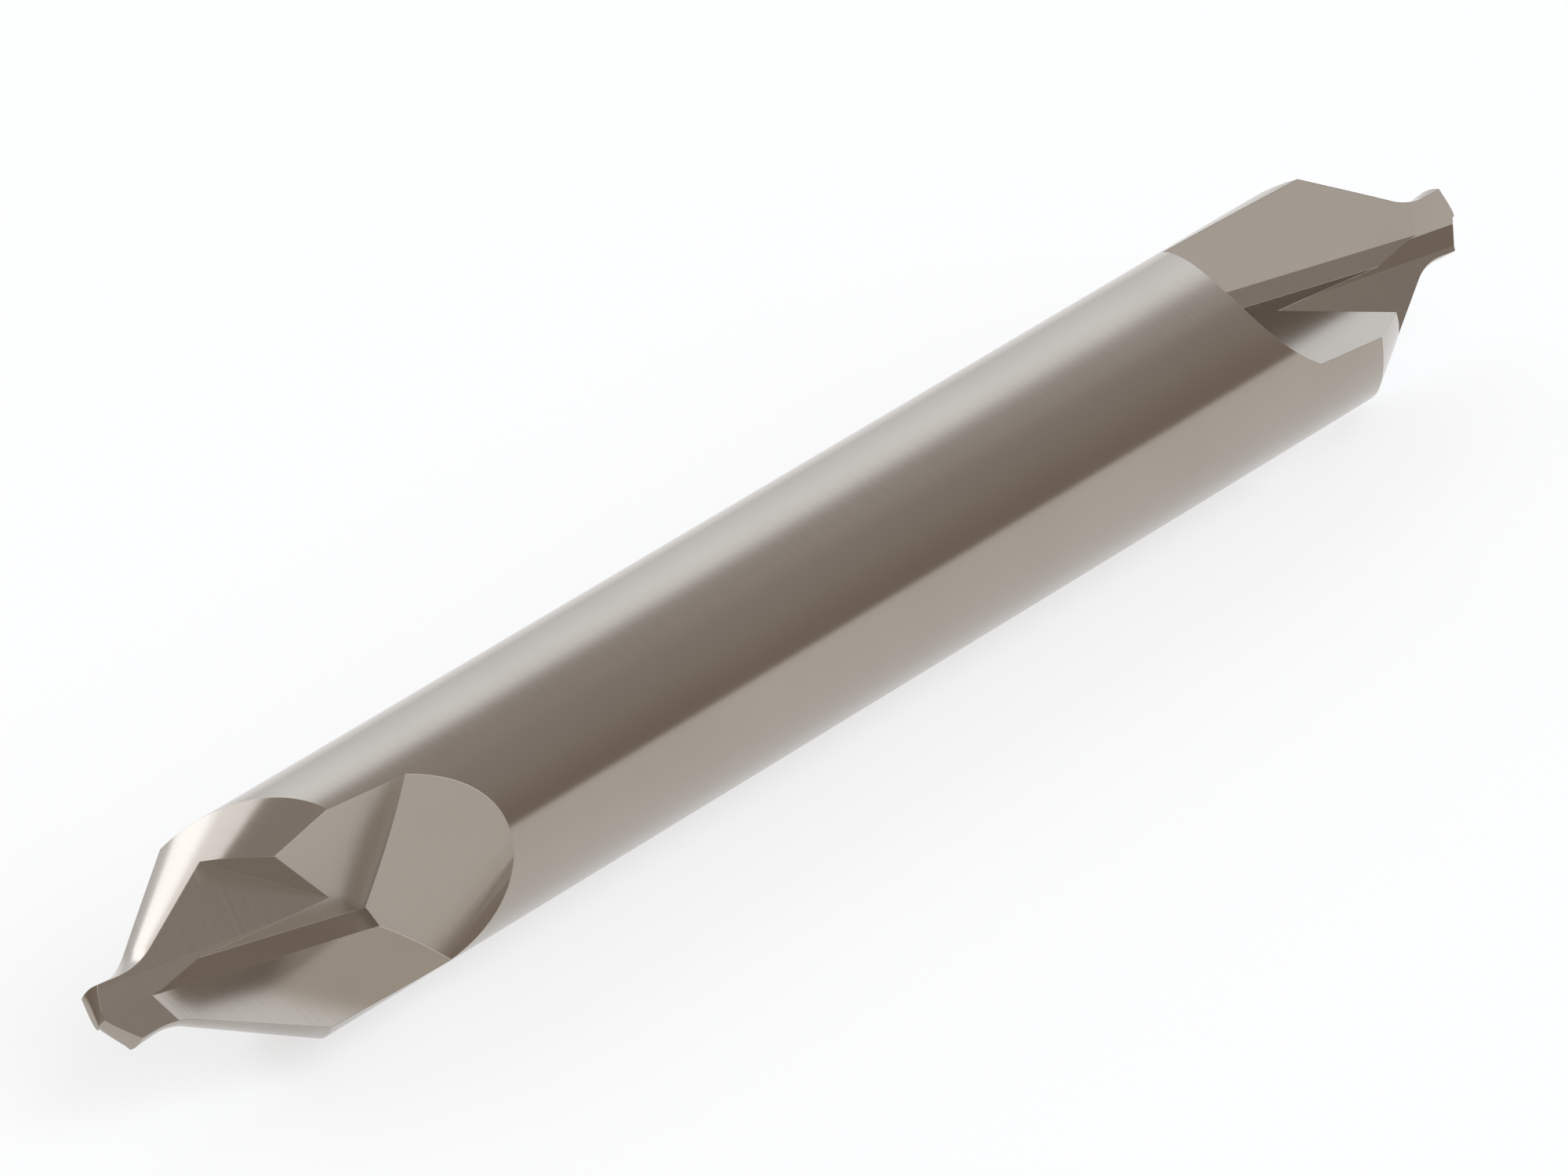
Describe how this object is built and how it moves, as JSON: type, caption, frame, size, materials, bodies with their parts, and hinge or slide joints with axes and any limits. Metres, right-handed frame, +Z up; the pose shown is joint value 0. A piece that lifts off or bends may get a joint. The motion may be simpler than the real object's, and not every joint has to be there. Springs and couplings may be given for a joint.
{
  "type": "centre drill",
  "caption": "Double-ended centre drill of ground high-speed steel: plain round shank, short pilot and countersink at each end, right-hand flutes",
  "frame": {"origin": "on the drill's axis at mid length", "axes": "+X along the drill's axis; +Z up as the drill lies on a table"},
  "size_m": [0.0314, 0.0032, 0.0032],
  "materials": {
    "ground_steel": "fine ground, warm grey"
  },
  "bodies": {
    "root": {"centre_drill": "ground_steel"}
  },
  "joints": []
}
